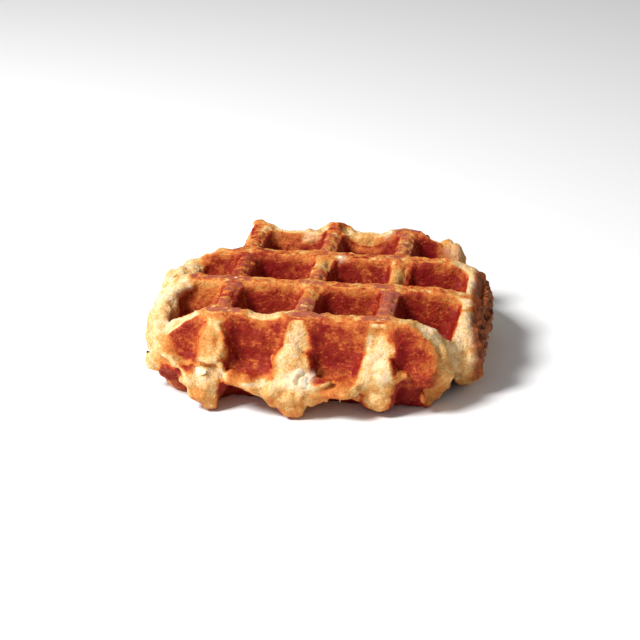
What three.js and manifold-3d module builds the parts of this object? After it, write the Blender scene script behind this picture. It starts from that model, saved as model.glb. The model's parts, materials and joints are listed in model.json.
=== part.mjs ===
// A thick pearl-sugar waffle, the way it leaves a deep square-grid iron: one ball of yeast dough that
// spread until it met five lengthways grooves and four crossways ones, and stopped short of the corners.
// The iron pressed square pockets into both faces and left a thin web between them. Where the dough ran
// out, the ridges end free: they lean, bulge and droop, and thin flaps of web hang between them.
// Millimetres, +Z up. X runs along the crossways ridges, Y from the front to the back.

import * as THREE from "three";
import Module from "manifold-3d";
import { LoftGeometry } from "three/addons/geometries/LoftGeometry.js";
import { ImprovedNoise } from "three/addons/math/ImprovedNoise.js";
import { mergeVertices } from "three/addons/utils/BufferGeometryUtils.js";

// The iron's grid.
const SPACING = 25; // between ridge centres, both ways
const HEIGHT = 28; // flat base to flat crests
const CREST_WIDTH = 5.4;
const WEB_BASE = 10; // underside of the web, which is the roof of the lower pockets
const WEB_TOP = 13; // upper side of the web, which is the floor of the upper pockets
const DRAFT = 0.24; // how far a pocket's wall leans in for each millimetre of depth
const CORNER_RADIUS = 2.6; // of a pocket seen from above
const FLOOR_FILLET = 1.2; // where a pocket's wall meets its floor
const CREST_CHAMFER = 0.9; // along the edges of a ridge
const LENGTHWAYS_RIDGES = 5; // at x = 0 to 4 spacings
const CROSSWAYS_RIDGES = 4; // at y = 1 to 4 spacings

// The rim of the dough, anticlockwise seen from above: the free ends of the ridges, and the stretches
// between them that need a point of their own. x and y are in spacings, at the height of the web. way is
// the direction in degrees in which the dough ran out there, with 0 to the right and 90 to the back.
// crest and foot are how many millimetres the rim draws back from there at the top and at the base: a
// negative foot leans outwards. shoulder is 1 where the rim slopes straight and more where it is rounded.
const RIM = [
  { x: 0.12, y: 1.12, way: 180, crest: 19, foot: 5, shoulder: 2.2 }, // left end of the front ridge
  { x: 0.32, y: 0.68, way: 215, crest: 14, foot: 4, shoulder: 2.2 },
  { x: 1.0, y: 0.64, way: 270, crest: 5.5, foot: -2, shoulder: 1.3 },
  { x: 2.0, y: 0.64, way: 270, crest: 5.5, foot: -4, shoulder: 1.2 },
  { x: 2.98, y: 0.74, way: 270, crest: 4, foot: 1, shoulder: 1.2 },
  { x: 3.6, y: 0.64, way: 328, crest: 9, foot: 2, shoulder: 2.4 },
  { x: 3.84, y: 1.05, way: 0, crest: 13, foot: 6, shoulder: 3 }, // right end of the front ridge
  { x: 3.88, y: 1.24, way: 300, crest: 12, foot: 9, shoulder: 2 },
  { x: 4.02, y: 1.34, way: 270, crest: 12, foot: 9, shoulder: 2.2 },
  { x: 4.2, y: 1.9, way: 0, crest: 3, foot: 5, shoulder: 2 },
  { x: 4.22, y: 2.3, way: 0, crest: 3, foot: 6, shoulder: 2 },
  { x: 4.22, y: 3.0, way: 0, crest: 3, foot: 2, shoulder: 2 },
  { x: 4.1, y: 3.56, way: 60, crest: 14, foot: 3, shoulder: 2 },
  { x: 3.66, y: 4.06, way: 30, crest: 11, foot: 3, shoulder: 2 },
  { x: 3.24, y: 4.22, way: 75, crest: 5, foot: 2, shoulder: 2 },
  { x: 2.96, y: 4.22, way: 90, crest: 3, foot: 1, shoulder: 2 },
  { x: 2.5, y: 4.33, way: 90, crest: 9, foot: 2, shoulder: 4 },
  { x: 2.04, y: 4.33, way: 90, crest: 3, foot: 2, shoulder: 2 },
  { x: 1.4, y: 4.26, way: 90, crest: 9, foot: 2, shoulder: 4 },
  { x: 0.98, y: 4.14, way: 90, crest: 2.5, foot: 1, shoulder: 2 },
  { x: 0.6, y: 3.82, way: 180, crest: 7, foot: 3, shoulder: 1.5 },
  { x: 0.26, y: 3.4, way: 160, crest: 18, foot: 3, shoulder: 1.6 },
  { x: -0.02, y: 2.92, way: 180, crest: 15, foot: 2, shoulder: 2.6 },
  { x: -0.1, y: 2.4, way: 180, crest: 9, foot: 2, shoulder: 2.6 },
  { x: -0.1, y: 1.9, way: 180, crest: 10, foot: 2, shoulder: 2.4 },
  { x: -0.05, y: 1.42, way: 180, crest: 14, foot: 4, shoulder: 2 },
];

// Dough that oozed past the iron: full lobes on the ends of ridges, and flat flaps of web between them.
// at is the middle, in spacings and millimetres of height, and half the half sizes in millimetres, along
// the lobe's own axes. pitch leans its top forwards and turn swings it about the vertical, in degrees.
const LOBES = [
  { at: [1.0, 0.74, 11], half: [6.6, 5.2, 12.5], pitch: -22, turn: 0 },
  { at: [2.0, 0.7, 10.5], half: [7.6, 5.6, 12], pitch: -28, turn: 0 },
  { at: [2.98, 0.86, 11], half: [6.4, 4.6, 12.5], pitch: -12, turn: 0 },
  { at: [4.0, 1.52, 12], half: [5.4, 6, 11], pitch: -20, turn: 0 },
  { at: [3.68, 1.0, 12], half: [4.6, 4.2, 9.5], pitch: 0, turn: 14 },
  { at: [3.57, 4.05, 16], half: [7.2, 4, 7.5], pitch: 0, turn: -22 },
  { at: [0.03, 1.66, 12], half: [3.6, 9, 8.5], pitch: 0, turn: 8 },
  { at: [0.58, 0.86, 11.5], half: [10, 7.5, 1.9], pitch: 6, turn: -38 },
  { at: [1.5, 0.74, 11], half: [11, 10.5, 1.9], pitch: 8, turn: 0 },
  { at: [2.52, 0.7, 10.4], half: [10, 9.5, 1.9], pitch: 10, turn: 8 },
];

const RIM_STEPS = 4; // straight pieces from one point of the rim to the next
const RIM_TENSION = 0.4; // how closely the rim's curve keeps to its points
const LEVELS = [0, 1.2, 5, WEB_BASE, WEB_TOP, 17, 21, 24.5, 26.8, HEIGHT];
const GRID_MIDDLE = new THREE.Vector3(2 * SPACING, 2.3 * SPACING, 0);
const MID_WEB = (WEB_BASE + WEB_TOP) / 2;
const ROUGHNESS = 0.7; // how far the free surfaces wander
const LUMP_SIZE = 7; // across one lump of them
const LUMP_START = 40; // the place in the noise where the lumps begin
const LOBE_DETAIL = 3; // how finely a lobe's ball is divided
const CORNER_STEPS = 2; // straight pieces in a pocket's rounded corner
const MOUTH_LIP = 0.05; // height of the step from a crest's chamfer to its flat, which no edge lies on
const CLEAR = 3; // how far a cutter runs past what it cuts
const WELD = 1e-3; // points closer than this are one

const wasm = await Module();
wasm.setup();
const noise = new ImprovedNoise();

function lumps(x, y, z) {
  const [across, along, up] = [x, y, z].map((place) => place / LUMP_SIZE + LUMP_START);
  return ROUGHNESS * noise.noise(across, along, up);
}

function solidOf(geometry) {
  const bare = new THREE.BufferGeometry();
  bare.setAttribute("position", geometry.getAttribute("position"));
  bare.setIndex(geometry.index);
  const merged = mergeVertices(bare, WELD);
  return new wasm.Manifold(
    new wasm.Mesh({
      numProp: 3,
      vertProperties: merged.attributes.position.array,
      triVerts: new Uint32Array(merged.index.array),
    }),
  );
}

// How far a point of the rim has drawn back at a height.
function setBack({ crest, foot, shoulder }, z) {
  if (z > MID_WEB) {
    return crest * ((z - MID_WEB) / (HEIGHT - MID_WEB)) ** shoulder;
  }
  return foot * ((MID_WEB - z) / MID_WEB) ** shoulder;
}

// The dough's outline at a height.
function outline(z) {
  const knots = RIM.map((knot) => {
    const way = THREE.MathUtils.degToRad(knot.way);
    const back = setBack(knot, z);
    const x = knot.x * SPACING - Math.cos(way) * back;
    const y = knot.y * SPACING - Math.sin(way) * back;
    return new THREE.Vector3(x, y, z);
  });
  const curve = new THREE.CatmullRomCurve3(knots, true, "catmullrom", RIM_TENSION);
  const steps = RIM.length * RIM_STEPS;
  const points = [];
  for (let i = 0; i < steps; i++) {
    const p = curve.getPoint(i / steps);
    const out = p.clone().sub(GRID_MIDDLE).setZ(0).normalize();
    points.push(p.addScaledVector(out, lumps(p.x, p.y, z)));
  }
  return points;
}

function blank() {
  return solidOf(new LoftGeometry(LEVELS.map(outline), { capStart: true, capEnd: true }));
}

// A square ring with rounded corners, about a middle.
function pocketRing(middle, halfWidth, z) {
  const radius = Math.min(CORNER_RADIUS, halfWidth);
  const points = [];
  for (let corner = 0; corner < 4; corner++) {
    for (let step = 0; step <= CORNER_STEPS; step++) {
      const angle = ((corner + step / CORNER_STEPS) * Math.PI) / 2;
      const quarter = ((corner + 0.5) * Math.PI) / 2;
      const cx = Math.sign(Math.cos(quarter)) * (halfWidth - radius);
      const cy = Math.sign(Math.sin(quarter)) * (halfWidth - radius);
      const x = middle[0] + cx + radius * Math.cos(angle);
      const y = middle[1] + cy + radius * Math.sin(angle);
      points.push(new THREE.Vector3(x, y, z));
    }
  }
  return points;
}

// One block of the iron, from a floor at one height out past a mouth at another. mouth is above the
// floor for an upper pocket and below it for a lower one.
function ironBlock(middle, floor, mouth) {
  const up = Math.sign(mouth - floor);
  const halfMouth = (SPACING - CREST_WIDTH) / 2;
  const halfAt = (z) => halfMouth - DRAFT * Math.abs(mouth - z);
  const aboveFloor = floor + up * FLOOR_FILLET;
  const belowMouth = mouth - up * CREST_CHAMFER;
  const past = mouth + up * CLEAR;
  const rings = [
    pocketRing(middle, halfAt(floor) - FLOOR_FILLET, floor),
    pocketRing(middle, halfAt(aboveFloor), aboveFloor),
    pocketRing(middle, halfAt(belowMouth), belowMouth),
    pocketRing(middle, halfMouth + CREST_CHAMFER, mouth + up * MOUTH_LIP),
    pocketRing(middle, halfMouth + CREST_CHAMFER, past),
  ];
  if (up < 0) {
    rings.reverse();
  }
  return solidOf(new LoftGeometry(rings, { capStart: true, capEnd: true }));
}

function lobe({ at, half, pitch, turn }) {
  const ball = new THREE.IcosahedronGeometry(1, LOBE_DETAIL);
  const position = ball.getAttribute("position");
  const turned = new THREE.Euler(
    THREE.MathUtils.degToRad(pitch),
    0,
    THREE.MathUtils.degToRad(turn),
    "ZYX",
  );
  const middle = new THREE.Vector3(at[0] * SPACING, at[1] * SPACING, at[2]);
  const p = new THREE.Vector3();
  for (let i = 0; i < position.count; i++) {
    const out = p.fromBufferAttribute(position, i).clone();
    p.multiply(new THREE.Vector3(...half)).applyEuler(turned);
    p.add(middle);
    p.addScaledVector(out.applyEuler(turned), lumps(p.x, p.y, p.z));
    position.setXYZ(i, p.x, p.y, p.z);
  }
  ball.deleteAttribute("normal");
  ball.deleteAttribute("uv");
  return solidOf(ball);
}

function waffleSolid() {
  let solid = blank();
  for (let i = 0; i < LENGTHWAYS_RIDGES - 1; i++) {
    for (let j = 0; j < CROSSWAYS_RIDGES; j++) {
      const middle = [(i + 0.5) * SPACING, (j + 0.5) * SPACING];
      solid = solid.subtract(ironBlock(middle, WEB_TOP, HEIGHT));
      solid = solid.subtract(ironBlock(middle, WEB_BASE, 0));
    }
  }
  for (const one of LOBES) {
    solid = solid.add(lobe(one));
  }
  const table = new THREE.BoxGeometry(8 * SPACING, 8 * SPACING, SPACING);
  table.translate(2 * SPACING, 2 * SPACING, -SPACING / 2);
  return solid.subtract(solidOf(table));
}

function geometryOf(solid) {
  const mesh = solid.getMesh();
  const geometry = new THREE.BufferGeometry();
  geometry.setAttribute("position", new THREE.BufferAttribute(mesh.vertProperties, mesh.numProp));
  geometry.setIndex(new THREE.BufferAttribute(mesh.triVerts, 1));
  return geometry;
}

// The origin is under the middle of the waffle, on the surface that it lies on.
const shape = geometryOf(waffleSolid());
shape.computeBoundingBox();
const centre = shape.boundingBox.getCenter(new THREE.Vector3());
shape.translate(-centre.x, -centre.y, 0);
shape.computeVertexNormals();

const bakedDough = new THREE.MeshStandardMaterial({
  color: 0xb5651d,
  roughness: 0.6,
  metalness: 0,
});
const waffle = new THREE.Mesh(shape, bakedDough);
waffle.name = "waffle";

const model = new THREE.Group();
model.add(waffle);

export default model;
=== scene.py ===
# A thick pearl-sugar waffle from a deep square-grid iron, lying on a white table in soft daylight.
# Metres, +Z up, with X along the crossways ridges and Y from the front to the back. Places on the
# waffle are given in the iron's own grid: (lengthways ridge, crossways ridge, height in millimetres).

import json
import math

import bpy
import numpy as np
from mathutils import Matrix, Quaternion, Vector, noise


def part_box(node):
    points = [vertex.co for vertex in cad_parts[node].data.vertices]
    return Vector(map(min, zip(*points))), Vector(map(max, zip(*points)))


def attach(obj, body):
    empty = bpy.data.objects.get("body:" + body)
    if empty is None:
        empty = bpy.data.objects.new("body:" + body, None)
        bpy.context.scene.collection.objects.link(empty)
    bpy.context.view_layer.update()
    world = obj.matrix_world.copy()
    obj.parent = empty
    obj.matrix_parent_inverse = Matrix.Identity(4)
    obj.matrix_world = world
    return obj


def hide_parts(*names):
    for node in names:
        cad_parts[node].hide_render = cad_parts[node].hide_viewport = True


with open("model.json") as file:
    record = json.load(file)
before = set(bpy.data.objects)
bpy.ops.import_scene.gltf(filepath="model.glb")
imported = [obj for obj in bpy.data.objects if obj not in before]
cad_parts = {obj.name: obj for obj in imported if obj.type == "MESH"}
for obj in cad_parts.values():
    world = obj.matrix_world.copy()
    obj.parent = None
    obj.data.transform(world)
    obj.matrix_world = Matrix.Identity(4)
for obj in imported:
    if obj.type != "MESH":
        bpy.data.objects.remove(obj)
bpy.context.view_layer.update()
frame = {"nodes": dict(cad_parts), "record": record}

# ---------------------------------------------------------------------------------------------
# The table and the light. A matt white board, wide enough to fill the view, under weak and even
# daylight. Most of the light falls from a window high at the left, a little in front of the
# waffle, and a wide soft fill in front adds a little more.
# ---------------------------------------------------------------------------------------------


class Wire:
    """An output of a material's node. Sums and products of wires add Math nodes."""

    def __init__(self, finish, socket):
        self.finish = finish
        self.socket = socket

    def maths(self, operation, first, second):
        return self.finish.node("ShaderNodeMath", {"operation": operation}, {0: first, 1: second})

    def __add__(self, other):
        return self.maths("ADD", self, other)

    def __mul__(self, other):
        return self.maths("MULTIPLY", self, other)

    def __sub__(self, other):
        return self.maths("SUBTRACT", self, other)

    def __rsub__(self, other):
        return self.maths("SUBTRACT", other, self)

    __radd__ = __add__
    __rmul__ = __mul__


class Finish:
    """A material, built up from nodes."""

    def __init__(self, name):
        self.material = bpy.data.materials.new(name)
        self.material.use_nodes = True
        self.tree = self.material.node_tree
        self.tree.nodes.clear()

    def node(self, kind, settings, sockets, output=0):
        """Add a node, make its settings, then give its sockets their values or wires."""
        made = self.tree.nodes.new(kind)
        for name, value in settings.items():
            if name == "stops":
                self.set_stops(made.color_ramp, value)
            else:
                setattr(made, name, value)
        for name, value in sockets.items():
            if isinstance(value, Wire):
                self.tree.links.new(value.socket, made.inputs[name])
            else:
                made.inputs[name].default_value = value
        return Wire(self, made.outputs[output])

    @staticmethod
    def set_stops(ramp, stops):
        while len(ramp.elements) < len(stops):
            ramp.elements.new(1.0)
        for element, (position, colour) in zip(ramp.elements, stops):
            element.position = position
            element.color = colour

    def surface(self, **sockets):
        """The finished material. A socket's name has _ here for each of its spaces."""
        named = {name.replace("_", " "): value for name, value in sockets.items()}
        shader = self.node("ShaderNodeBsdfPrincipled", {}, named)
        output = self.tree.nodes.new("ShaderNodeOutputMaterial")
        self.tree.links.new(shader.socket, output.inputs["Surface"])
        return self.material


TABLE_SIZE = 4.0
TABLE_GAP = 0.0001  # below the waffle, so that the two faces never share a plane
TABLE_WHITE = (0.93, 0.93, 0.93, 1)
DAYLIGHT_STRENGTH = 0.25

bpy.ops.object.select_all(action="DESELECT")
bpy.ops.mesh.primitive_plane_add(size=TABLE_SIZE, location=(0, 0, -TABLE_GAP))
table = bpy.context.active_object
table.name = "table"
white_board = Finish("white_board")
table.data.materials.append(white_board.surface(Base_Color=TABLE_WHITE, Roughness=0.85))

world = bpy.data.worlds.new("daylight")
bpy.context.scene.world = world
world.use_nodes = True
background = world.node_tree.nodes["Background"]
background.inputs["Color"].default_value = (1, 1, 1, 1)
background.inputs["Strength"].default_value = DAYLIGHT_STRENGTH


def add_window(name, place, width, watts):
    """A square soft light that faces the waffle."""
    lamp = bpy.data.lights.new(name, "AREA")
    lamp.size = width
    lamp.energy = watts
    holder = bpy.data.objects.new(name, lamp)
    holder.location = place
    holder.rotation_euler = (-Vector(place)).to_track_quat("-Z", "Y").to_euler()
    bpy.context.scene.collection.objects.link(holder)


add_window("window", place=(-0.46, -0.31, 0.66), width=0.28, watts=11.2)
add_window("front_fill", place=(-0.30, -0.9, 0.50), width=0.6, watts=0.7)

CAMERA_TURN = math.radians(8.58)  # to the right of straight in front
CAMERA_RISE = math.radians(23.98)  # above the table
CAMERA_DISTANCE = 0.5454
CAMERA_LENS = 95.6
AIM_OFFSET = Vector((0.0002, -0.0057, 0.0))  # from the middle of the waffle

low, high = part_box("waffle")
aim = (low + high) / 2 + AIM_OFFSET
away = Vector(
    (
        math.sin(CAMERA_TURN) * math.cos(CAMERA_RISE),
        -math.cos(CAMERA_TURN) * math.cos(CAMERA_RISE),
        math.sin(CAMERA_RISE),
    )
)
camera = bpy.data.objects.new("camera", bpy.data.cameras.new("camera"))
camera.data.lens = CAMERA_LENS
camera.location = aim + away * CAMERA_DISTANCE
camera.rotation_euler = away.to_track_quat("Z", "Y").to_euler()
bpy.context.scene.collection.objects.link(camera)
bpy.context.scene.camera = camera
bpy.context.scene.view_settings.view_transform = "Standard"

# ---------------------------------------------------------------------------------------------
# The dough: one piece of yeast dough. The iron pressed its pockets and browned what it touched,
# red-brown in the pockets and golden to caramel on the crests, where the caramel's mauve is a
# painted sheen, a reflection put into its colour. Dough that never met the iron stayed pale, and
# swelled into soft lumps, torn flaps and drooping ends. Shade and light are painted into its
# colour in places, as noted below.
# ---------------------------------------------------------------------------------------------

MM = 0.001
TINY = 1e-9  # the least length that anything is divided by

pockets = {opening["name"]: opening["box_m"] for opening in frame["record"]["physics"]["openings"]}


def pocket_middle(name):
    corner, opposite = pockets[name]
    return (Vector(corner) + Vector(opposite)) / 2


first_pocket = pocket_middle("upper_pocket_front_far_left")  # between ridges 0 and 1, and 1 and 2
next_pocket = pocket_middle("upper_pocket_front_left")
PITCH = next_pocket.x - first_pocket.x
GRID_X = first_pocket.x - 0.5 * PITCH
GRID_Y = first_pocket.y - 1.5 * PITCH
PITCH_MM = PITCH / MM
TOP = high.z / MM
LAST_CELL = 3  # the pockets are numbered from 0, both ways

# The iron, in millimetres.
HALF_CREST = 2.7
DRAFT = 0.24  # how far a wall leans for each millimetre of depth
UPPER_DEPTH = 15.0
LOWER_DEPTH = 10.0
WEB_MIDDLE = 11.5  # between the floors of the upper and the lower pockets
CORNER = 2.6  # radius of the blocks' upright corners


def grid_point(u, v, z):
    return Vector((GRID_X + u * PITCH, GRID_Y + v * PITCH, z * MM))


def smooth(start, end, value):
    """0 up to start and 1 from end on, with a smooth rise between them."""
    t = np.clip((value - start) / (end - start), 0, 1)
    return t * t * (3 - 2 * t)


def iron_gap(points, upper, fillet=0.0):
    """How far points, in millimetres, are from the blocks of one plate of the iron, and below 0
    inside them. fillet rounds the blocks' edges where a pocket's walls meet its floor."""
    across = (points[:, 0] - GRID_X / MM) / PITCH_MM
    along = (points[:, 1] - GRID_Y / MM) / PITCH_MM
    depth = TOP - points[:, 2] if upper else points[:, 2]
    cell_u = np.clip(np.floor(across), 0, LAST_CELL) + 0.5
    cell_v = np.clip(np.floor(along), 0, LAST_CELL) + 0.5
    half = PITCH_MM / 2 - HALF_CREST - DRAFT * depth - CORNER
    side_u = np.abs(across - cell_u) * PITCH_MM - half
    side_v = np.abs(along - cell_v) * PITCH_MM - half
    outside = np.hypot(np.maximum(side_u, 0), np.maximum(side_v, 0))
    beside = outside + np.minimum(np.maximum(side_u, side_v), 0) - CORNER + fillet
    under = depth - (UPPER_DEPTH if upper else LOWER_DEPTH) + fillet
    corner = np.hypot(np.maximum(beside, 0), np.maximum(under, 0))
    return corner + np.minimum(np.maximum(beside, under), 0) - fillet


def nearest_gap(points, fillet=0.0):
    """The same, for whichever plate each point is nearer to."""
    from_above = iron_gap(points, True, fillet)
    from_below = iron_gap(points, False, fillet)
    return np.where(points[:, 2] > WEB_MIDDLE, from_above, from_below)


def way_out(points, reach=0.06):
    """The way straight out of the nearest block, at each point."""
    ways = []
    for axis in np.eye(3):
        ways.append(nearest_gap(points + reach * axis) - nearest_gap(points - reach * axis))
    ways = np.stack(ways, axis=1)
    return ways / np.maximum(np.linalg.norm(ways, axis=1), TINY)[:, None]


def wander(points, size, start=0.0, squeeze=(1, 1, 1)):
    """Smooth noise between -1 and 1, with waves about size across. Each start gives another
    pattern, and squeeze under 1 makes the waves longer along that axis."""
    shifted = points * np.array(squeeze) / size + start
    return np.array([noise.noise(Vector(p)) for p in shifted])


BLISTER_FALL = 1.6  # how fast a blister falls away from its top


def blisters(points, size):
    """Round bumps about size across, from 1 on top of one to 0 in the creases between them."""
    nearest = np.array([noise.voronoi(Vector(p))[0][0] for p in points / size])
    return np.clip(1 - nearest * nearest * BLISTER_FALL, 0, 1)


# Soft lumps and thin torn flaps that stand out from the dough: where, half sizes in millimetres
# and turns in degrees.
LUMPS = [
    # the front-left end, which folded over itself
    ((0.97, 0.68, 20.0), (4.2, 3.2, 6.0), (-20, 0, 0)),
    ((1.00, 0.78, 23.0), (3.6, 3.0, 3.4), (-20, 0, 0)),
    ((0.95, 0.56, 16.6), (4.6, 2.8, 2.0), (10, 0, 0)),
    ((1.12, 0.55, 14.0), (1.8, 1.8, 2.2), (0, -34, 0)),
    ((1.07, 0.66, 18.6), (3.6, 2.8, 6.4), (-12, 0, 0)),
    ((0.86, 0.54, 11.8), (3.8, 2.6, 1.6), (10, -6, 0)),
    ((0.90, 0.53, 9.0), (6.6, 3.8, 3.4), (0, 8, 0)),
    ((0.92, 0.52, 5.8), (5.0, 3.6, 3.4), (0, 0, 0)),
    ((0.98, 0.53, 3.0), (3.4, 3.0, 2.9), (0, 0, 0)),
    ((0.66, 0.57, 8.8), (1.9, 1.8, 1.6), (0, 20, 0)),
    # its thin lip, on the left
    ((0.38, 0.74, 15.4), (2.8, 1.8, 1.3), (0, 20, 0)),
    ((0.48, 0.66, 14.6), (3.2, 1.8, 1.2), (0, 24, 10)),
    ((0.59, 0.60, 13.2), (3.2, 1.8, 1.2), (0, 28, 10)),
    ((0.70, 0.55, 11.4), (3.0, 1.8, 1.3), (0, 44, 10)),
    # the next one, broken open over sugar
    ((1.96, 0.60, 16.8), (5.8, 3.2, 4.8), (-20, 0, 0)),
    ((2.04, 0.54, 12.8), (6.6, 3.0, 3.4), (-10, 16, 0)),
    ((2.12, 0.60, 15.4), (3.8, 2.8, 4.6), (-12, 0, 0)),
    ((1.96, 0.48, 10.0), (10.4, 3.2, 2.8), (0, -4, 0)),
    ((1.85, 0.45, 7.6), (9.6, 3.4, 2.4), (0, 12, 0)),
    ((1.93, 0.45, 5.0), (7.2, 3.2, 2.6), (0, 14, 0)),
    ((2.20, 0.46, 8.2), (5.0, 2.8, 3.0), (0, 24, 0)),
    ((2.00, 0.45, 2.5), (4.4, 3.0, 2.3), (0, 10, 0)),
    ((1.78, 0.41, 9.0), (2.6, 2.2, 2.2), (0, 0, 0)),
    ((2.06, 0.38, 8.0), (2.8, 2.2, 2.6), (0, 0, 0)),
    ((1.90, 0.39, 5.6), (2.4, 2.0, 2.0), (0, 0, 0)),
    ((2.08, 0.42, 4.4), (1.9, 2.0, 1.9), (0, 0, 0)),
    ((2.26, 0.46, 10.6), (5.4, 2.4, 2.0), (0, -18, 0)),
    ((2.38, 0.43, 12.0), (3.2, 1.6, 1.2), (0, -26, 0)),
    # torn web between the two, and on to the third
    ((1.38, 0.46, 11.4), (5.4, 3.0, 1.4), (14, 4, 0)),
    ((1.56, 0.40, 9.2), (5.2, 2.4, 1.9), (20, 26, 14)),
    ((2.38, 0.46, 7.8), (2.8, 1.8, 1.1), (24, 10, 0)),
    ((2.50, 0.44, 8.6), (2.4, 1.8, 0.9), (30, -30, 0)),
    ((2.62, 0.48, 9.4), (2.6, 2.0, 1.0), (20, -8, 0)),
    ((2.72, 0.50, 10.2), (2.2, 2.0, 1.0), (20, -26, 0)),
    ((2.60, 0.46, 7.3), (0.9, 0.9, 1.8), (0, 14, 0)),
    ((2.44, 0.46, 6.4), (0.9, 0.9, 1.2), (0, -14, 0)),
    ((2.76, 0.66, 5.6), (1.7, 1.5, 1.2), (0, 0, 0)),
    # the third end is one smooth drop
    ((2.97, 0.72, 14.0), (5.8, 3.6, 6.4), (-14, 0, 0)),
    ((3.00, 0.67, 10.4), (7.2, 3.8, 5.4), (0, 0, 0)),
    ((3.02, 0.67, 5.2), (5.8, 3.6, 4.2), (0, 0, 0)),
    ((3.12, 0.64, 14.4), (3.6, 2.8, 5.0), (-10, 0, 0)),
    ((3.29, 0.64, 13.0), (2.8, 1.3, 1.0), (0, -24, 12)),
    ((3.36, 0.62, 13.6), (1.2, 1.1, 1.3), (0, 10, 0)),
    ((3.64, 0.80, 5.2), (2.2, 1.9, 1.8), (0, 0, 0)),
    # the left flap, where the front ridge runs out
    ((0.34, 0.92, 17.0), (3.4, 2.8, 3.4), (0, 40, 10)),
    ((0.26, 0.88, 12.6), (2.6, 3.2, 3.4), (20, 0, 30)),
    ((0.17, 1.00, 8.6), (2.6, 2.4, 3.2), (0, -20, 0)),
    ((0.24, 1.18, 18.0), (3.0, 4.6, 3.4), (12, 0, 0)),
    # lobes along the left side, behind it
    ((0.24, 1.28, 16.0), (3.0, 5.6, 4.6), (0, 0, 0)),
    ((0.25, 1.58, 18.6), (3.2, 4.6, 4.4), (0, 0, 0)),
    ((0.21, 1.44, 20.2), (3.4, 5.0, 3.6), (16, 0, 0)),
    ((0.21, 1.66, 22.4), (3.6, 4.4, 2.9), (8, 0, 0)),
    ((0.25, 1.84, 23.8), (4.0, 3.4, 2.6), (0, -8, 0)),
    ((0.38, 1.88, 25.4), (4.2, 2.8, 2.2), (0, -10, 0)),
    ((0.14, 2.22, 21.0), (3.6, 5.6, 4.2), (0, -10, 0)),
    ((0.17, 2.48, 21.6), (4.4, 5.2, 4.2), (0, -10, 0)),
    ((0.30, 2.56, 22.4), (3.8, 4.6, 3.0), (0, -6, 0)),
    ((0.04, 2.20, 15.0), (2.6, 5.4, 4.6), (0, 0, 0)),
    # the left end of the third ridge
    ((0.29, 2.86, 20.6), (4.4, 4.4, 4.0), (0, -12, 0)),
    ((0.36, 2.92, 22.4), (4.0, 3.8, 2.6), (0, -12, 0)),
    ((0.48, 2.97, 23.0), (3.8, 3.6, 2.6), (0, -14, 0)),
    ((0.63, 3.00, 25.0), (4.2, 3.2, 2.5), (0, -24, 0)),
    # the back edge
    ((0.97, 4.02, 27.2), (2.4, 2.2, 1.8), (0, -12, 0)),
    ((1.25, 3.96, 23.6), (3.6, 2.6, 2.2), (0, 8, 0)),
    ((1.70, 3.94, 24.8), (3.8, 2.6, 2.6), (0, -10, 0)),
    ((2.05, 4.04, 27.6), (1.8, 2.0, 1.9), (0, 0, 0)),
    ((2.40, 3.98, 24.8), (5.4, 2.6, 2.2), (0, 2, 0)),
    ((2.80, 3.96, 26.0), (2.0, 2.2, 1.6), (0, 0, 0)),
    ((3.58, 3.98, 22.2), (3.6, 2.6, 2.6), (0, 0, 0)),
    ((3.78, 3.92, 20.4), (3.4, 2.8, 4.8), (0, 0, 0)),
    ((3.57, 4.00, 24.6), (0.7, 0.8, 1.1), (0, 24, 0)),
]
VOXEL = 0.00073  # how finely the dough is meshed


def add_lump(at, half, turn):
    """A soft egg-shaped lump, with its half sizes in millimetres."""
    bpy.ops.mesh.primitive_ico_sphere_add(
        subdivisions=3,
        radius=1,
        location=grid_point(*at),
        rotation=[math.radians(angle) for angle in turn],
        scale=[size * MM for size in half],
    )
    return bpy.context.active_object


def finish_modifier(piece, kind, **settings):
    bpy.context.view_layer.objects.active = piece
    modifier = piece.modifiers.new(kind.lower(), kind)
    for name, value in settings.items():
        setattr(modifier, name, value)
    bpy.ops.object.modifier_apply(modifier=modifier.name)


def join(pieces, name):
    """Make the pieces one piece, at the origin, unturned and unscaled."""
    bpy.ops.object.select_all(action="DESELECT")
    for piece in pieces:
        piece.select_set(True)
    bpy.context.view_layer.objects.active = pieces[0]
    bpy.ops.object.join()
    joined = bpy.context.active_object
    joined.name = name
    bpy.ops.object.transform_apply(location=True, rotation=True, scale=True)
    return joined


# Start from the solid that the iron's blocks left, and knead the lumps and flaps into it.
SAME_PLACE = 1e-6  # points nearer than this are merged

dough = bpy.data.objects.new("waffle_dough", frame["nodes"]["waffle"].data.copy())
dough.data.materials.clear()
bpy.context.scene.collection.objects.link(dough)
bpy.ops.object.select_all(action="DESELECT")
dough.select_set(True)
bpy.context.view_layer.objects.active = dough
bpy.ops.object.mode_set(mode="EDIT")
bpy.ops.mesh.select_all(action="SELECT")
bpy.ops.mesh.remove_doubles(threshold=SAME_PLACE)
bpy.ops.object.mode_set(mode="OBJECT")
dough = join([dough] + [add_lump(*one) for one in LUMPS], "waffle_dough")
finish_modifier(dough, "REMESH", mode="VOXEL", voxel_size=VOXEL, use_smooth_shade=True)
finish_modifier(dough, "SMOOTH", factor=0.5, iterations=2)


def read_vectors(piece, name):
    values = np.empty(len(piece.data.vertices) * 3)
    piece.data.vertices.foreach_get(name, values)
    return values.reshape(-1, 3)


def write_points(piece, points_mm):
    piece.data.vertices.foreach_set("co", (points_mm * MM).ravel())
    piece.data.update()


def distance_from(points, at, size=(1, 1, 1)):
    """How far points, in millimetres, are from a grid place, counted in sizes along each axis."""
    offset = (points - np.array(grid_point(*at)) / MM) / np.array(size)
    return np.linalg.norm(offset, axis=1)


def nearness(points, at, size):
    """1 near a grid place, falling to 0 at size millimetres away along each axis."""
    return 1 - smooth(0.35, 1.0, distance_from(points, at, size))


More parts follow.
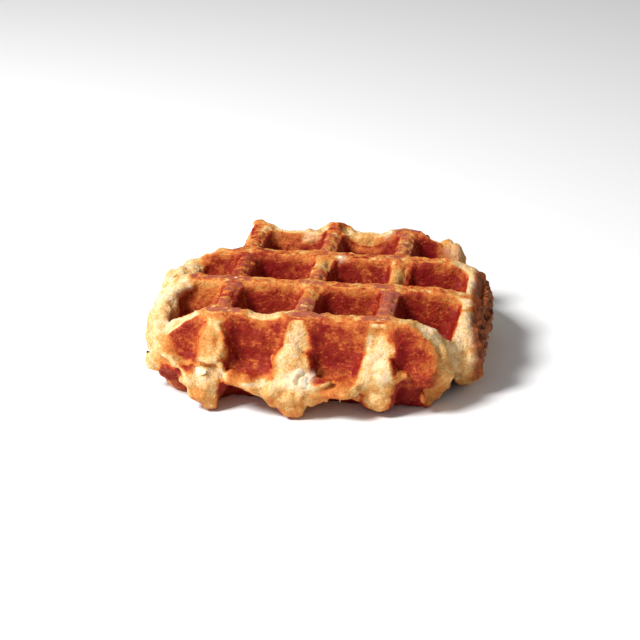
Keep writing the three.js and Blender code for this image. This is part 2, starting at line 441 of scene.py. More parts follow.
# Free ends that shrank or drooped: where, how far each way in millimetres, and how they moved.
PULLS = [
    ((1.23, 0.66, 2.0), (6.0, 7.0, 7.0), (-3.4, 0.0, 1.6)),
    ((2.26, 0.60, 2.0), (4.6, 6.5, 5.0), (-2.4, 0.0, 0.6)),
    ((3.26, 0.76, 2.0), (4.0, 5.5, 6.0), (-1.2, 0.0, 0.0)),
    ((0.30, 0.76, 0.5), (7.5, 9.0, 6.0), (1.4, 0.0, 1.4)),
    ((3.84, 0.84, 5.0), (8.0, 7.0, 7.5), (-5.0, 0.0, 0.6)),
    ((4.08, 1.20, 0.5), (8.0, 8.0, 8.5), (-0.6, 0.0, 5.2)),
    ((4.30, 1.25, 3.0), (6.0, 7.0, 8.0), (-2.4, 0.0, 2.0)),
    ((1.80, 4.00, 28.0), (4.0, 4.5, 4.5), (0.0, 0.0, -1.2)),
    ((2.27, 4.00, 28.0), (3.6, 4.5, 4.5), (0.0, 0.0, -1.3)),
    ((1.88, 4.02, 28.2), (2.6, 5.0, 3.6), (0.0, 0.0, -1.5)),
    ((2.18, 4.02, 28.2), (2.6, 5.0, 3.6), (0.0, 0.0, -1.7)),
    ((3.84, 3.92, 22.0), (6.5, 6.5, 8.0), (-2.0, 0.0, 0.0)),
]

moved = read_vectors(dough, "co") / MM
for at, size, by in PULLS:
    moved = moved + nearness(moved, at, size)[:, None] * np.array(by)
write_points(dough, moved)

# Stretches of crest: the ridge's way and number, where the stretch starts and ends, how brown it
# is, how much caramel is on it, which is coloured mauve as a painted sheen, and how many
# millimetres it fell short of the iron.
CRESTS = [
    ("crossways", 1, -1.0, 0.80, 0.10, 0.0, 0.0),
    ("crossways", 1, 0.84, 1.34, 0.56, 1.0, 0.0),
    ("crossways", 1, 1.36, 1.80, 0.16, 0.0, 1.1),
    ("crossways", 1, 1.84, 2.36, 0.52, 1.0, 0.0),
    ("crossways", 1, 2.36, 2.76, 0.42, 0.3, 0.3),
    ("crossways", 1, 2.78, 3.12, 0.50, 1.0, 0.0),
    ("crossways", 1, 3.14, 5.0, 0.12, 0.0, 0.3),
    ("crossways", 2, 0.10, 0.44, 0.08, 0.0, 0.4),
    ("crossways", 2, 0.46, 1.24, 0.58, 0.8, 0.0),
    ("crossways", 2, 1.28, 1.82, 0.44, 0.3, 0.4),
    ("crossways", 2, 1.86, 2.18, 0.52, 0.9, 0.0),
    ("crossways", 2, 2.20, 2.76, 0.46, 0.3, 0.3),
    ("crossways", 2, 2.80, 3.08, 0.58, 0.8, 0.0),
    ("crossways", 2, 3.10, 3.90, 0.44, 0.1, 0.4),
    ("crossways", 3, 0.10, 0.70, 0.30, 0.0, 0.0),
    ("crossways", 3, 0.72, 1.12, 0.55, 0.6, 0.0),
    ("crossways", 3, 1.16, 1.82, 0.60, 0.2, 0.4),
    ("crossways", 3, 1.86, 2.20, 0.60, 0.6, 0.0),
    ("crossways", 3, 2.24, 2.74, 0.60, 0.1, 0.4),
    ("crossways", 3, 2.78, 3.06, 0.55, 0.8, 0.0),
    ("crossways", 3, 3.10, 3.70, 0.46, 0.1, 0.6),
    ("crossways", 3, 3.72, 5.0, 0.12, 0.0, 0.8),
    ("crossways", 4, 0.80, 1.12, 0.44, 0.0, 0.0),
    ("crossways", 4, 1.14, 1.88, 0.18, 0.0, 1.2),
    ("crossways", 4, 1.94, 2.16, 0.66, 0.8, 0.0),
    ("crossways", 4, 2.20, 2.80, 0.14, 0.0, 1.8),
    ("crossways", 4, 2.84, 3.24, 0.62, 0.8, 0.0),
    ("lengthways", 0, -1.0, 5.0, 0.10, 0.0, 0.4),
    ("lengthways", 1, 1.10, 1.40, 0.68, 0.8, 0.2),
    ("lengthways", 1, 1.40, 1.56, 0.66, 0.3, 0.5),
    ("lengthways", 1, 1.56, 1.90, 0.70, 0.8, 0.3),
    ("lengthways", 1, 2.10, 2.90, 0.75, 0.5, 0.4),
    ("lengthways", 1, 3.10, 3.90, 0.50, 0.0, 0.5),
    ("lengthways", 2, 1.10, 1.50, 0.52, 0.9, 0.3),
    ("lengthways", 2, 1.50, 1.90, 0.40, 0.2, 0.5),
    ("lengthways", 2, 2.10, 2.46, 0.56, 0.6, 0.6),
    ("lengthways", 2, 2.50, 2.90, 0.32, 0.0, 0.9),
    ("lengthways", 2, 3.10, 3.90, 0.54, 0.5, 0.6),
    ("lengthways", 3, 1.10, 1.90, 0.64, 1.0, 0.2),
    ("lengthways", 3, 2.10, 2.90, 0.60, 0.0, 2.2),
    ("lengthways", 3, 3.10, 3.90, 0.54, 0.7, 0.4),
    ("lengthways", 4, 1.10, 1.92, 0.08, 0.0, 1.6),
    ("lengthways", 4, 2.08, 2.94, 0.08, 0.0, 2.0),
    ("lengthways", 4, 2.96, 5.0, 0.12, 0.0, 1.0),
]
STRETCH_END = 0.06  # over how much of a pitch one stretch turns into the next
SAG = 1.8  # of the right-hand side, at the crests
PLAIN_CREST = 0.43  # how brown a crest is between the stretches
THIN_LINE = 0.42  # how much of a browned crossways crest met the iron
CREST_ROUND = (1.4, 1.5)  # radius where a lengthways and a crossways crest rolls over
FLOOR_ROUND = 3.0  # radius where a wall meets the floor of its pocket

# What the iron touched: wall is 1 on the pockets' walls and floors, and crest_met on the crests.
# out is the way out of the nearest block, and crossways is 1 on the crossways ridges' walls.
pressed = read_vectors(dough, "co") / MM
normals = read_vectors(dough, "normal")
across = (pressed[:, 0] - GRID_X / MM) / PITCH_MM
along = (pressed[:, 1] - GRID_Y / MM) / PITCH_MM
height = pressed[:, 2]
gap = nearest_gap(pressed)
out = way_out(pressed)
touching = smooth(0.35, 0.75, -(normals * out).sum(axis=1))
wall = (1 - smooth(0.6, 2.0, np.abs(gap))) * touching
plate_gap = np.minimum(TOP - height, height)
crest_met = (1 - smooth(0.5, 1.6, plate_gap)) * smooth(0.35, 0.8, np.abs(normals[:, 2]))
level_way = np.maximum(np.hypot(out[:, 0], out[:, 1]), TINY)
crossways = smooth(0.35, 0.75, np.abs(out[:, 1]) / level_way)

# Roll the crests over into the walls: points in the corner move onto an arc.
roll = CREST_ROUND[0] + (CREST_ROUND[1] - CREST_ROUND[0]) * crossways
inward = np.clip(gap, 0, roll) - roll
downward = np.clip(plate_gap, 0, roll) - roll
reach = np.hypot(inward, downward)
shift = np.where(reach > roll, roll / np.maximum(reach, TINY) - 1, 0.0)
rolling = shift * np.maximum(wall, crest_met) * smooth(-1.6, -0.4, gap)
rolled = pressed + out * (inward * rolling)[:, None] * np.array([1, 1, 0])
to_plate = np.where(height > TOP / 2, -1.0, 1.0)
rolled[:, 2] += to_plate * downward * rolling
write_points(dough, rolled)
normals = read_vectors(dough, "normal")

# Lay the stretches of crest along the ridges. beside is in half widths of a crest.
brown = np.full(len(height), PLAIN_CREST)
caramel = np.zeros(len(height))
short = np.zeros(len(height))
rounding = np.zeros(len(height))
upper = smooth(13, 16, height)  # 1 above the web between the two plates
for way, ridge, start, end, browning, mauve, fall in CRESTS:
    run, offset = (along, across - ridge) if way == "lengthways" else (across, along - ridge)
    beside = np.abs(offset) * PITCH_MM / HALF_CREST
    rise = smooth(start - STRETCH_END, start + STRETCH_END, run)
    fade = 1 - smooth(end - STRETCH_END, end + STRETCH_END, run)
    spread = THIN_LINE if way == "crossways" and browning > PLAIN_CREST else 1.0
    stretch = rise * fade * (1 - smooth(1.2 * spread, 1.9 * spread, beside)) * upper
    brown = brown + (browning - brown) * stretch
    caramel = np.maximum(caramel, mauve * stretch)
    middle = (start + end) / 2
    bow = 1 - np.clip(np.abs(run - middle) / ((end - start) / 2), 0, 1) ** 2.5
    short = np.maximum(short, fall * stretch * bow)
    rounding = np.maximum(rounding, fall * stretch * bow * np.minimum(beside, 1.3) ** 2)

# The dough's own unevenness, with the sizes of its swells, lumps, crumb, fibres, blisters and beads
# in millimetres.
WIDE = 8.0
SMALL = 2.6
FINE = 1.4
FIBRE = 1.7
UPRIGHT = (1, 1, 0.22)  # squeeze that makes the fibres run up the side
BLISTER = 5.2
BEAD = 3.3

wide_noise = wander(pressed, WIDE)
small_noise = wander(pressed, SMALL, 30.0)
fine_noise = wander(pressed, FINE, 60.0)
fibre_noise = wander(pressed, FIBRE, 90.0, UPRIGHT)
bubbles = blisters(pressed, BLISTER)
beads = blisters(pressed, BEAD)

# The right-hand side swelled out past the iron's grid, and a ragged band on it scorched.
edge_of_pale = across + 0.03 * small_noise - 0.11 * np.clip(2.0 - along, 0, 1)
ragged_along = along + 0.34 * wide_noise + 0.08 * small_noise
right_side = smooth(3.98, 4.05, edge_of_pale) * smooth(1.05, 1.5, ragged_along)
right_side = right_side * (1 - smooth(3.0, 3.5, ragged_along))
scorch = right_side * smooth(4, 13, height + 6 * wide_noise + 2 * small_noise) * (1 - wall)

# Free dough swells and blisters most, and the second front end most of all. What the iron pressed
# is only rippled, and the pockets' floors turn up into their walls. Amounts are in millimetres.
KNOBBLY_END = (1.95, 0.44, 7.5)
KNOBBLY_REACH = (11.0, 11.0, 11.0)
CREST_DROP = 2.4  # where the crests run out at the right-hand side

free = 1 - np.maximum(wall, crest_met)
near_crest = smooth(20, 27, height)
fill = nearest_gap(pressed, FLOOR_ROUND) - gap
knobbly = 0.3 + 0.7 * nearness(pressed, KNOBBLY_END, KNOBBLY_REACH)
swell = 0.50 * wide_noise + 0.75 * (bubbles - 0.6) + 0.46 * small_noise + 0.22 * fine_noise
swell = swell + 1.1 * knobbly * (beads - 0.5)
torn = scorch * (0.8 * fibre_noise + 0.6 * small_noise + 0.3 * fine_noise)
ripple = wall * (0.22 * small_noise + 0.14 * fine_noise)
crumbly = crest_met * (0.34 * small_noise + 0.24 * fine_noise)
lift = free * swell + torn + ripple + crumbly + wall * fill
sculpted = rolled + normals * lift[:, None]
sculpted[:, 2] -= near_crest * (short + 0.7 * rounding)
sculpted[:, 2] -= near_crest * CREST_DROP * smooth(4.03, 4.16, across)
sculpted[:, 2] *= 1 - SAG / TOP * smooth(3.6, 4.1, across)
sculpted[:, 2] = np.maximum(sculpted[:, 2], 0)
write_points(dough, sculpted)

# How brown each place is, from 0, pale, to 1, with painted shade and light in it. A crossways
# ridge's wall starts golden under the crest, has a painted shadow at its left-hand end, cast by the
# ridge beside it, and painted shade low down, and is darker in the rows at the back. The lengthways
# ridges' walls and the walls under the web get painted shade, and the first column's walls behind
# the front row get painted light. The floor of a pocket is patchy.
WALL_BROWN = 0.72
LENGTHWAYS_SHADE = 0.18  # the lengthways ridges' walls are darker
LEFT_END_SHADOW = 0.18
LOW_WALL_SHADE = 0.10
LAST_COLUMN_MORE = 0.06  # behind the front row
RIGHT_HALF_MORE = 0.03
BACK_ROWS_MORE = 0.11
FIRST_COLUMN_LIGHT = 0.12  # behind the front row
UNDERSIDE_SHADE = 0.12
FLOOR_BROWN = 0.78
GOLDEN_DEPTH = 2.6  # of the golden edge, on the front walls
GOLDEN_DEPTH_MORE = 1.2  # behind the front row

depth = TOP - height
floor = smooth(0.45, 0.85, np.abs(out[:, 2])) * (gap > -1)
behind_front = smooth(1.3, 1.7, along)
edge_depth = GOLDEN_DEPTH + GOLDEN_DEPTH_MORE * behind_front
golden_edge = 1 - smooth(0.3 * edge_depth, edge_depth, depth + 1.1 * small_noise + 0.7 * fine_noise)
golden_edge = golden_edge * upper * crossways
# Painted shadow at the left-hand end of each crossways wall, cast by the ridge beside it, not in the
# first column.
shadowed_left_end = 1 - smooth(0.22, 0.62, across - np.floor(across))
shadowed_left_end = shadowed_left_end * smooth(0.9, 1.1, across)
# Painted shade deep in the pockets.
low_wall_shade = LOW_WALL_SHADE * smooth(9, 13, depth)
wall_level = WALL_BROWN + crossways * (LEFT_END_SHADOW * shadowed_left_end + low_wall_shade)
wall_level = wall_level + LAST_COLUMN_MORE * crossways * smooth(3, 3.2, across) * behind_front
wall_level = wall_level + RIGHT_HALF_MORE * crossways * smooth(2.0, 2.4, across)
wall_level = wall_level + BACK_ROWS_MORE * crossways * smooth(2.4, 2.6, along)
# Painted shade on the lengthways ridges' walls, whose right-hand faces are turned from the window.
wall_level = wall_level + LENGTHWAYS_SHADE * (1 - crossways)
# Painted light on the first column's walls behind the front row, where the rim beside them shades
# them.
first_column = 1 - smooth(0.8, 1.0, across)
wall_level = wall_level - FIRST_COLUMN_LIGHT * crossways * first_column * behind_front
wall_level = wall_level - golden_edge * (0.20 + 0.06 * behind_front + 0.10 * shadowed_left_end)
# Painted shade on the walls low down, under the web.
wall_level = wall_level + 0.06 * wide_noise + UNDERSIDE_SHADE * (1 - smooth(9, 12, height))
wall_level = wall_level + floor * (FLOOR_BROWN + 0.12 * small_noise - wall_level)

# Free dough is pale, a little browner in its creases and low down, partly its own colour and
# partly painted shade; the front-right end gets more painted shade on its side away from the
# window. A crest is as brown as its stretch, and half as brown where it fell short of the iron.
PALE_BROWN = 0.06
LOW_BROWN_AND_SHADE = 0.22
LOW_LESS_RIGHT = 0.06  # how much less of that there is at the right
FRONT_RIGHT_SHADE = 0.10

top_face = crest_met * smooth(0.72, 0.92, np.abs(normals[:, 2]))
fell_short = smooth(0.3, 1.4, short)
# Browner in the creases between blisters and beads: partly the dough's own colour, partly painted
# shade.
pale = PALE_BROWN + 0.08 * wide_noise + 0.10 * small_noise + 0.30 * np.clip(0.42 - bubbles, 0, 1)
pale = pale + 0.34 * knobbly * np.clip(0.45 - beads, 0, 1)
# Browner low down: partly the dough's own colour, partly painted shade.
pale = pale + (LOW_BROWN_AND_SHADE - LOW_LESS_RIGHT * smooth(3.5, 3.8, across)) * (1 - smooth(4, 13, height))
# Painted shade on the front-right end, on its side away from the window.
front_right_shade = smooth(3.3, 3.6, across) * (1 - smooth(1.2, 1.5, along))
pale = pale + FRONT_RIGHT_SHADE * front_right_shade * (1 - smooth(14, 22, height))
brown = brown + 0.12 * (wide_noise + small_noise) * (1 - upper)
baked_level = wall_level + ((1 - 0.5 * fell_short) * brown - wall_level) * top_face
bake = pale + (baked_level - pale) * np.maximum(wall, crest_met)

# The right-hand flanks of the front ends touched the iron too, right up to the edge, and the
# second one's only above its torn part. Their dark colour is partly that browning and partly
# painted shade, as they face away from the window, with more painted shade low down.
FLANK_BROWN_AND_SHADE = 0.86
LOW_FLANK_SHADE = 0.10

beside_end = (across - np.round(across)) * PITCH_MM
shaded_flank = smooth(0.50, 0.78, normals[:, 0] + 0.12 * small_noise) * smooth(1.6, 2.8, beside_end)
shaded_flank = shaded_flank * (1 - smooth(0.92, 1.0, along))
shaded_flank = shaded_flank * (1 - smooth(3.3, 3.4, across)) * smooth(0.8, 0.9, across)
shaded_flank = shaded_flank * np.maximum(smooth(13, 15, height), np.abs(across - 2) > 0.5)
bake = bake + (FLANK_BROWN_AND_SHADE + LOW_FLANK_SHADE * (1 - smooth(8, 13, height)) - bake) * shaded_flank

# Stretches that are browner or paler than the iron's touch alone makes them: where, how far they
# reach each way in millimetres, how brown they are, and how fully they are, from 0 to 1. A few of
# the browner ones are painted shade, in hollows and beside the front ends, as marked.
STROKES = [
    ((0.62, 0.80, 15.0), (8.0, 5.0, 7.0), 0.68, 0.6),
    # painted shade in the hollow under the front-left lip
    ((0.54, 0.66, 10.8), (6.6, 4.4, 1.9), 0.84, 1.0),
    ((0.53, 0.63, 13.9), (6.0, 2.4, 2.0), 0.24, 0.9),
    ((0.36, 0.82, 17.0), (3.2, 4.4, 3.6), 0.14, 0.9),
    # painted shadow beside the first front end
    ((1.27, 0.80, 18.0), (2.8, 5.5, 7.5), 0.86, 1.0),
    ((1.15, 0.93, 24.0), (1.6, 3.0, 3.0), 0.80, 0.9),
    ((2.16, 0.93, 24.0), (1.6, 3.0, 3.0), 0.80, 0.9),
    ((3.16, 0.93, 23.6), (1.8, 3.0, 3.6), 0.80, 0.9),
    ((3.20, 0.72, 14.6), (1.6, 2.6, 2.6), 0.80, 0.9),
    ((2.98, 0.90, 25.0), (3.2, 2.4, 1.5), 0.34, 0.8),
    # painted shade on the low part of the second front end, in this and the next
    ((2.16, 0.50, 5.0), (4.6, 5.0, 5.6), 0.28, 0.9),
    ((1.96, 0.37, 5.0), (8.0, 5.0, 5.0), 0.32, 0.45),
    ((1.00, 0.62, 18.5), (5.0, 4.0, 6.0), 0.25, 0.8),
    ((0.98, 0.72, 21.5), (5.0, 4.4, 4.6), 0.29, 0.8),
    ((1.02, 0.91, 26.4), (3.4, 2.8, 2.0), 0.46, 0.8),
    ((0.20, 2.74, 23.0), (3.4, 4.0, 3.4), 0.10, 1.0),
    ((0.12, 2.40, 24.0), (4.0, 5.0, 3.4), 0.08, 1.0),
    ((3.60, 0.77, 5.0), (2.8, 2.8, 2.6), 0.62, 0.9),
    ((1.96, 0.58, 16.0), (6.0, 4.0, 5.0), 0.22, 0.7),
    ((0.06, 1.20, 14.0), (5.0, 13.0, 12.0), 0.15, 0.8),
    ((0.24, 1.40, 18.0), (3.6, 9.0, 6.0), 0.20, 1.0),
    ((3.67, 0.88, 12.0), (2.6, 4.5, 8.0), 0.26, 0.9),
    ((3.50, 0.94, 21.0), (3.0, 3.0, 3.4), 0.30, 0.9),
    ((3.68, 3.86, 21.0), (6.0, 6.5, 8.0), 0.29, 0.9),
    ((2.56, 0.54, 11.0), (5.5, 3.6, 2.0), 0.64, 0.9),
    ((1.36, 3.90, 23.2), (7.6, 4.0, 4.0), 0.54, 0.95),
    ((2.46, 3.90, 22.8), (8.6, 4.0, 3.8), 0.58, 0.95),
    ((1.70, 3.92, 25.6), (3.4, 4.0, 3.0), 0.24, 0.8),
    ((2.46, 3.98, 27.0), (8.0, 5.0, 1.2), 0.26, 0.9),
    ((2.03, 4.00, 27.6), (3.2, 4.0, 2.6), 0.62, 0.9),
    ((3.32, 0.64, 13.2), (4.2, 2.4, 2.6), 0.42, 0.9),
    ((0.86, 3.50, 24.0), (2.4, 10.0, 5.0), 0.26, 0.9),
    ((0.24, 2.90, 22.0), (4.6, 5.0, 5.0), 0.18, 0.9),
    ((0.44, 2.96, 22.4), (3.4, 4.0, 4.0), 0.40, 0.7),
    ((1.46, 0.60, 13.6), (6.5, 4.6, 1.9), 0.72, 0.9),
    ((2.52, 0.60, 13.0), (6.0, 4.6, 1.9), 0.72, 0.9),
    # painted shadow beside the third front end
    ((3.46, 0.74, 11.5), (6.6, 4.0, 5.0), 0.78, 0.9),
    ((0.55, 0.80, 5.0), (6.6, 4.0, 5.0), 0.78, 0.9),
    ((0.98, 0.55, 14.4), (4.0, 3.0, 0.9), 0.50, 0.9),
    ((2.52, 0.46, 9.0), (6.0, 4.0, 3.4), 0.46, 0.9),
    ((1.36, 0.46, 11.2), (4.6, 3.4, 2.0), 0.38, 0.9),
]

for at, size, level, strength in STROKES:
    distance = distance_from(pressed, at, size) + 0.16 * small_noise
    bake = bake + (level - bake) * (1 - smooth(0.75, 1.15, distance)) * strength

# Where the dough's rim met the iron only lightly, red turns slowly through gold to pale: where,
# and how far round it in millimetres. Each turn blends a point with its neighbours.
RIMS = [
    ((3.62, 0.88, 15.0), 10.0),
    ((3.60, 0.84, 8.0), 9.0),
    ((3.30, 0.90, 26.0), 7.0),
    ((0.35, 0.85, 15.0), 6.0),
    ((3.60, 3.90, 23.0), 6.0),
]
BLENDING_TURNS = 26
OWN_SHARE = 0.4
NEIGHBOURS_SHARE = 0.6

edge_ends = np.empty(len(dough.data.edges) * 2, dtype=np.int64)
dough.data.edges.foreach_get("vertices", edge_ends)
ends = np.concatenate([edge_ends[0::2], edge_ends[1::2]])
others = np.concatenate([edge_ends[1::2], edge_ends[0::2]])
neighbours = np.maximum(np.bincount(ends, minlength=len(bake)), 1)
softened = bake.copy()
for _ in range(BLENDING_TURNS):
    around = NEIGHBOURS_SHARE * np.bincount(ends, softened[others], len(bake)) / neighbours
    softened = OWN_SHARE * softened + around
soft = np.zeros(len(bake))
for at, size in RIMS:
    distance = distance_from(pressed, at)
    soft = np.maximum(soft, 1 - smooth(0.6 * size, size, distance))
bake = bake + (softened - bake) * soft


def store(piece, name, values):
    made = piece.data.attributes.new(name, "FLOAT", "POINT")
    made.data.foreach_set("value", values.astype(np.float32))


# Where half-melted pearl sugar whitens the dough, how far round it in millimetres, and how much.
SUGAR = [
    ((0.89, 0.52, 11.8), 2.6, 0.9),
    ((2.12, 0.46, 12.6), 4.6, 1.0),
    ((1.98, 0.60, 16.6), 2.6, 0.8),
    ((0.20, 1.68, 24.4), 4.0, 0.6),
    ((0.36, 1.84, 26.8), 3.2, 0.6),
    ((1.71, 3.92, 26.4), 3.4, 0.4),
    ((1.25, 3.92, 25.2), 2.2, 0.5),
    ((2.80, 3.94, 27.6), 2.0, 0.6),
    ((3.68, 3.90, 22.0), 4.6, 0.35),
    ((2.26, 2.93, 28.0), 1.6, 0.6),
    ((0.14, 1.00, 7.6), 2.0, 0.8),
]

whitened = np.zeros(len(height))
for at, size, strength in SUGAR:
    distance = distance_from(pressed, at)
    ragged = distance + 1.5 * small_noise + 0.9 * fine_noise
    whitened = np.maximum(whitened, (1 - smooth(0.25 * size, 1.15 * size, ragged)) * strength)

store(dough, "bake", np.clip(bake, 0, 1))
store(dough, "caramel", np.clip(caramel * top_face, 0, 1))
store(dough, "scorch", np.clip(scorch, 0, 1))
store(dough, "whitened", np.clip(whitened, 0, 1))
store(dough, "mottle", np.clip(top_face * smooth(0.3, 0.5, bake), 0, 1))

baked = Finish("baked_dough")


def noise_on(finish, per_metre, detail, roughness=0.5, stretch=(1, 1, 1)):
    """Noise on the piece's own coordinates, with per_metre waves to the metre."""
    place = finish.node("ShaderNodeTexCoord", {}, {}, "Object")
    moved = finish.node("ShaderNodeMapping", {}, {"Vector": place, "Scale": stretch})
    sockets = {"Vector": moved, "Scale": per_metre, "Detail": detail, "Roughness": roughness}
    return finish.node("ShaderNodeTexNoise", {}, sockets, "Fac")


def baked_noise(size_mm, detail=2.0, stretch=(1, 1, 1)):
    """The dough's noise, with waves about size_mm across."""
    return noise_on(baked, 1 / (size_mm * MM), detail, 0.6, stretch)


def attribute(finish, name):
    return finish.node("ShaderNodeAttribute", {"attribute_name": name}, {}, "Fac")


def mix(finish, factor, colour, other):
    return finish.node("ShaderNodeMix", {"data_type": "RGBA"}, {0: factor, 6: colour, 7: other}, 2)


def step(finish, value, start, end):
    """0 where value is under start and 1 over end, with a smooth rise between them."""
    settings = {"interpolation_type": "SMOOTHSTEP"}
    sockets = {"Value": value, "From Min": start, "From Max": end}
    return finish.node("ShaderNodeMapRange", settings, sockets)


def relief(finish, strength, depth_mm, wave):
    """The shader's normal for a fine relief that follows wave."""
    sockets = {"Strength": strength, "Distance": depth_mm * MM, "Height": wave}
    return finish.node("ShaderNodeBump", {}, sockets)


# The dough's colours from the palest to the darkest, then those of what lies over it.
CREAM = (0.84, 0.61, 0.37, 1)
BUTTER = (0.76, 0.48, 0.20, 1)
TAN = (0.62, 0.305, 0.085, 1)
GOLD = (0.60, 0.20, 0.044, 1)
AMBER = (0.50, 0.113, 0.025, 1)
RED_BROWN = (0.29, 0.025, 0.010, 1)
DARK = (0.19, 0.006, 0.005, 1)
MAUVE_SHEEN = (0.36, 0.09, 0.06, 1)
SUGAR_WHITE = (0.88, 0.72, 0.52, 1)
SCORCHED = (0.13, 0.018, 0.005, 1)
TOASTED = (0.36, 0.075, 0.016, 1)

# The colour runs from cream to dark with the bake, which blotches, patches, grain and specks of
# noise break up. Each of these noises is centred on 0. Fine glints that lighten the browner parts
# are painted highlights.
blotch = baked_noise(9.0) - 0.5
patch = baked_noise(3.4, 3.0) - 0.5
grain = baked_noise(1.5, 4.0) - 0.5
speck = baked_noise(0.6, 2.0) - 0.5
# Painted highlight: fine glints that lighten the walls.
painted_glint = step(baked, baked_noise(1.2, 5.0, (0.8, 0.8, 1.4)), 0.48, 0.72)
bake_level = attribute(baked, "bake")
pits = 1 - step(baked, speck + grain * 0.5, -0.24, -0.10)
mottle = attribute(baked, "mottle")
coarse = blotch * 0.26 + patch * 0.36 + pits * 0.18
tone = bake_level + coarse + (grain * 0.60 + speck * 0.62) * (1 - bake_level * 0.35)
tone = tone + mottle * (patch * 0.9 + grain * 0.9)
tone = tone + bake_level * (patch * 0.45 + blotch * 0.25)
tone = tone - painted_glint * bake_level * 0.30
stops = [(0.0, CREAM), (0.13, BUTTER), (0.26, TAN), (0.40, GOLD)]
stops = stops + [(0.56, AMBER), (0.76, RED_BROWN), (1.0, DARK)]
colour = baked.node("ShaderNodeValToRGB", {"stops": stops}, {"Fac": tone})

# Over it lie the caramel on the crests, its mauve a painted sheen, the streaked scorch and the
# melted sugar.
glaze_and_sheen = attribute(baked, "caramel") * 0.72 + grain * 1.5 + patch * 1.2 + speck * 0.7
glaze_and_sheen = step(baked, glaze_and_sheen, 0.40, 0.62) * step(baked, attribute(baked, "caramel"), 0.02, 0.30)
# Painted sheen: the caramel's mauve stands in for the light it reflects.
colour = mix(baked, glaze_and_sheen * 0.8, colour, MAUVE_SHEEN)
fibres = step(baked, baked_noise(1.2, 4.0, (1, 1, 0.4)), 0.36, 0.6)
streaked = mix(baked, fibres * 0.7 + patch * 1.2, TOASTED, SCORCHED)
colour = mix(baked, attribute(baked, "scorch") * 0.94, colour, streaked)
colour = mix(baked, attribute(baked, "whitened") * 0.7, colour, SUGAR_WHITE)

crumb = patch * 0.8 + (grain * 0.9 + speck * 0.5) * (1 - bake_level * 0.45) - pits * 0.3
roughness = 0.62 - step(baked, tone, 0.3, 0.9) * 0.16 - glaze_and_sheen * 0.14 + grain * 0.2
dough.data.materials.append(
    baked.surface(
        Base_Color=colour,
        Roughness=roughness,
        Normal=relief(baked, strength=0.85, depth_mm=0.7, wave=crumb),
        Specular_IOR_Level=0.10,
        Subsurface_Weight=0.15,
        Subsurface_Radius=(1.0, 0.42, 0.18),
        Subsurface_Scale=0.0018,
    )
)
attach(dough, "root")
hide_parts("waffle")

# ---------------------------------------------------------------------------------------------
# Pearl sugar: coarse lumps of pressed sugar that were folded into the dough. The ones near the
# surface half melted against the iron, and sit in it like dull glass.
# ---------------------------------------------------------------------------------------------

# Where, half sizes in millimetres (the last one stands out of the dough) and a turn in degrees.
NUGGETS = [
    ((0.88, 0.50, 12.2), (2.2, 1.2, 0.4), 10),
    ((2.09, 0.46, 13.2), (2.4, 2.0, 0.7), 30),
    ((2.17, 0.44, 11.8), (2.1, 1.6, 0.7), -20),
    ((2.20, 0.45, 13.2), (1.5, 1.3, 0.6), 55),
    ((0.13, 1.00, 7.6), (1.3, 1.1, 1.1), 0),
    ((2.79, 3.92, 27.8), (0.9, 0.7, 0.5), 20),
    ((2.25, 2.92, 28.0), (0.8, 0.6, 0.4), 0),
    ((1.03, 2.02, 28.0), (0.5, 0.4, 0.3), 0),
]
NUGGET_CUBE = 1.7  # edge of the cube that rounds off into a lump of about unit half size
NUGGET_UNEVEN = 0.26  # how far its corners are moved at random, in half sizes
NUGGET_SUNK = 0.82  # how much of a nugget's height is below the surface
CLEAR_SUGAR = (0.80, 0.58, 0.33, 1)
FROSTED_SUGAR = (0.90, 0.74, 0.53, 1)


def rest_on_dough(at, half, turn, sunk):
    """Lay the active piece, a unit solid, on the dough's surface near a grid place."""
    near = grid_point(*at)
    _, spot, normal, _ = dough.closest_point_on_mesh(near)
    lying = normal.to_track_quat("Z", "Y") @ Quaternion((0, 0, 1), math.radians(turn))
    piece = bpy.context.active_object
    piece.rotation_mode = "QUATERNION"
    piece.rotation_quaternion = lying
    piece.scale = [size * MM for size in half]
    piece.location = spot + normal * half[2] * MM * (1 - 2 * sunk)
    return piece


def add_nugget(seed, at, half, turn):
    bpy.ops.object.select_all(action="DESELECT")
    bpy.ops.mesh.primitive_cube_add(size=NUGGET_CUBE)
    bpy.ops.object.mode_set(mode="EDIT")
    bpy.ops.mesh.subdivide(number_cuts=2, smoothness=0.6)
    bpy.ops.transform.vertex_random(offset=NUGGET_UNEVEN, seed=seed)
    bpy.ops.object.mode_set(mode="OBJECT")
    nugget = bpy.context.active_object
    finish_modifier(nugget, "SUBSURF", levels=2, render_levels=2)
    bpy.ops.object.shade_smooth()
    return rest_on_dough(at, half, turn, NUGGET_SUNK)


pearl_sugar = join([add_nugget(seed, *one) for seed, one in enumerate(NUGGETS)], "pearl_sugar")
sugar = Finish("melted_sugar")
cloud = noise_on(sugar, per_metre=700, detail=3.0)
crystals = noise_on(sugar, per_metre=2400, detail=2.0)
pearl_sugar.data.materials.append(
    sugar.surface(
        Base_Color=mix(sugar, step(sugar, cloud, 0.35, 0.62), CLEAR_SUGAR, FROSTED_SUGAR),
        Roughness=0.40 + cloud * 0.35,
        Specular_IOR_Level=0.25,
        Normal=relief(sugar, strength=0.8, depth_mm=0.4, wave=crystals + cloud),
        Subsurface_Weight=0.5,
        Subsurface_Radius=(1.0, 0.8, 0.6),
        Subsurface_Scale=0.0015,
    )
)
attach(pearl_sugar, "root")

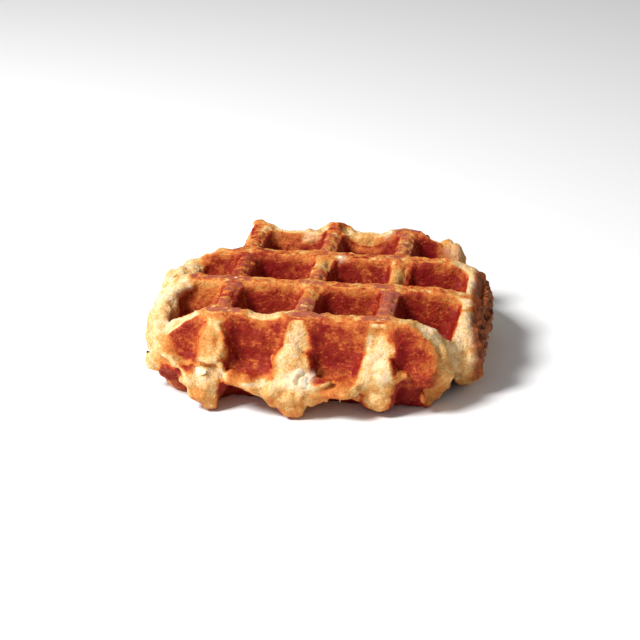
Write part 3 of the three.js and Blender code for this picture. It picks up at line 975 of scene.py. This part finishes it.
# ---------------------------------------------------------------------------------------------
# Burnt shreds: scraps of dough, 1 to 2 mm long, that were squeezed out between the plates and
# charred. They cling to the rim, one at the left, one at the back and the rest at the right.
# ---------------------------------------------------------------------------------------------

# Where, half sizes in millimetres and a turn in degrees.
SHREDS = [
    ((4.26, 2.62, 24.0), (0.9, 0.6, 0.6), 20),
    ((4.30, 2.06, 24.4), (0.9, 0.5, 0.8), 40),
    ((4.30, 1.94, 21.0), (1.1, 0.6, 0.8), 80),
    ((4.30, 1.76, 18.4), (0.8, 0.5, 0.7), 10),
    ((4.30, 1.56, 19.6), (1.0, 0.6, 0.8), 60),
    ((4.30, 1.44, 17.2), (1.0, 0.7, 1.0), 30),
    ((4.28, 1.40, 15.4), (0.8, 0.5, 0.6), 70),
    ((4.26, 2.34, 18.0), (0.9, 0.6, 0.6), 50),
    ((0.09, 1.06, 11.0), (0.5, 0.5, 0.8), 30),
    ((3.34, 4.06, 26.6), (1.0, 0.5, 0.6), 15),
]
SHRED_UNEVEN = 0.34  # how far its points are moved at random, in half sizes
SHRED_SUNK = 0.3  # how much of a shred's height is below the surface
FIRST_SHRED_SEED = 40  # of the random moves
BURNT = (0.06, 0.017, 0.008, 1)
SINGED = (0.26, 0.075, 0.022, 1)


def add_shred(seed, at, half, turn):
    bpy.ops.object.select_all(action="DESELECT")
    bpy.ops.mesh.primitive_ico_sphere_add(subdivisions=3, radius=1)
    bpy.ops.object.mode_set(mode="EDIT")
    bpy.ops.transform.vertex_random(offset=SHRED_UNEVEN, seed=seed)
    bpy.ops.object.mode_set(mode="OBJECT")
    return rest_on_dough(at, half, turn, SHRED_SUNK)


shreds = [add_shred(seed, *one) for seed, one in enumerate(SHREDS, FIRST_SHRED_SEED)]
burnt_shreds = join(shreds, "burnt_shreds")
charred = Finish("charred_dough")
flecks = noise_on(charred, per_metre=900, detail=3.0)
burnt_shreds.data.materials.append(
    charred.surface(
        Base_Color=mix(charred, step(charred, flecks, 0.45, 0.68), BURNT, SINGED),
        Roughness=0.62 + flecks * 0.3,
        Specular_IOR_Level=0.12,
        Normal=relief(charred, strength=0.7, depth_mm=0.3, wave=flecks),
    )
)
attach(burnt_shreds, "root")
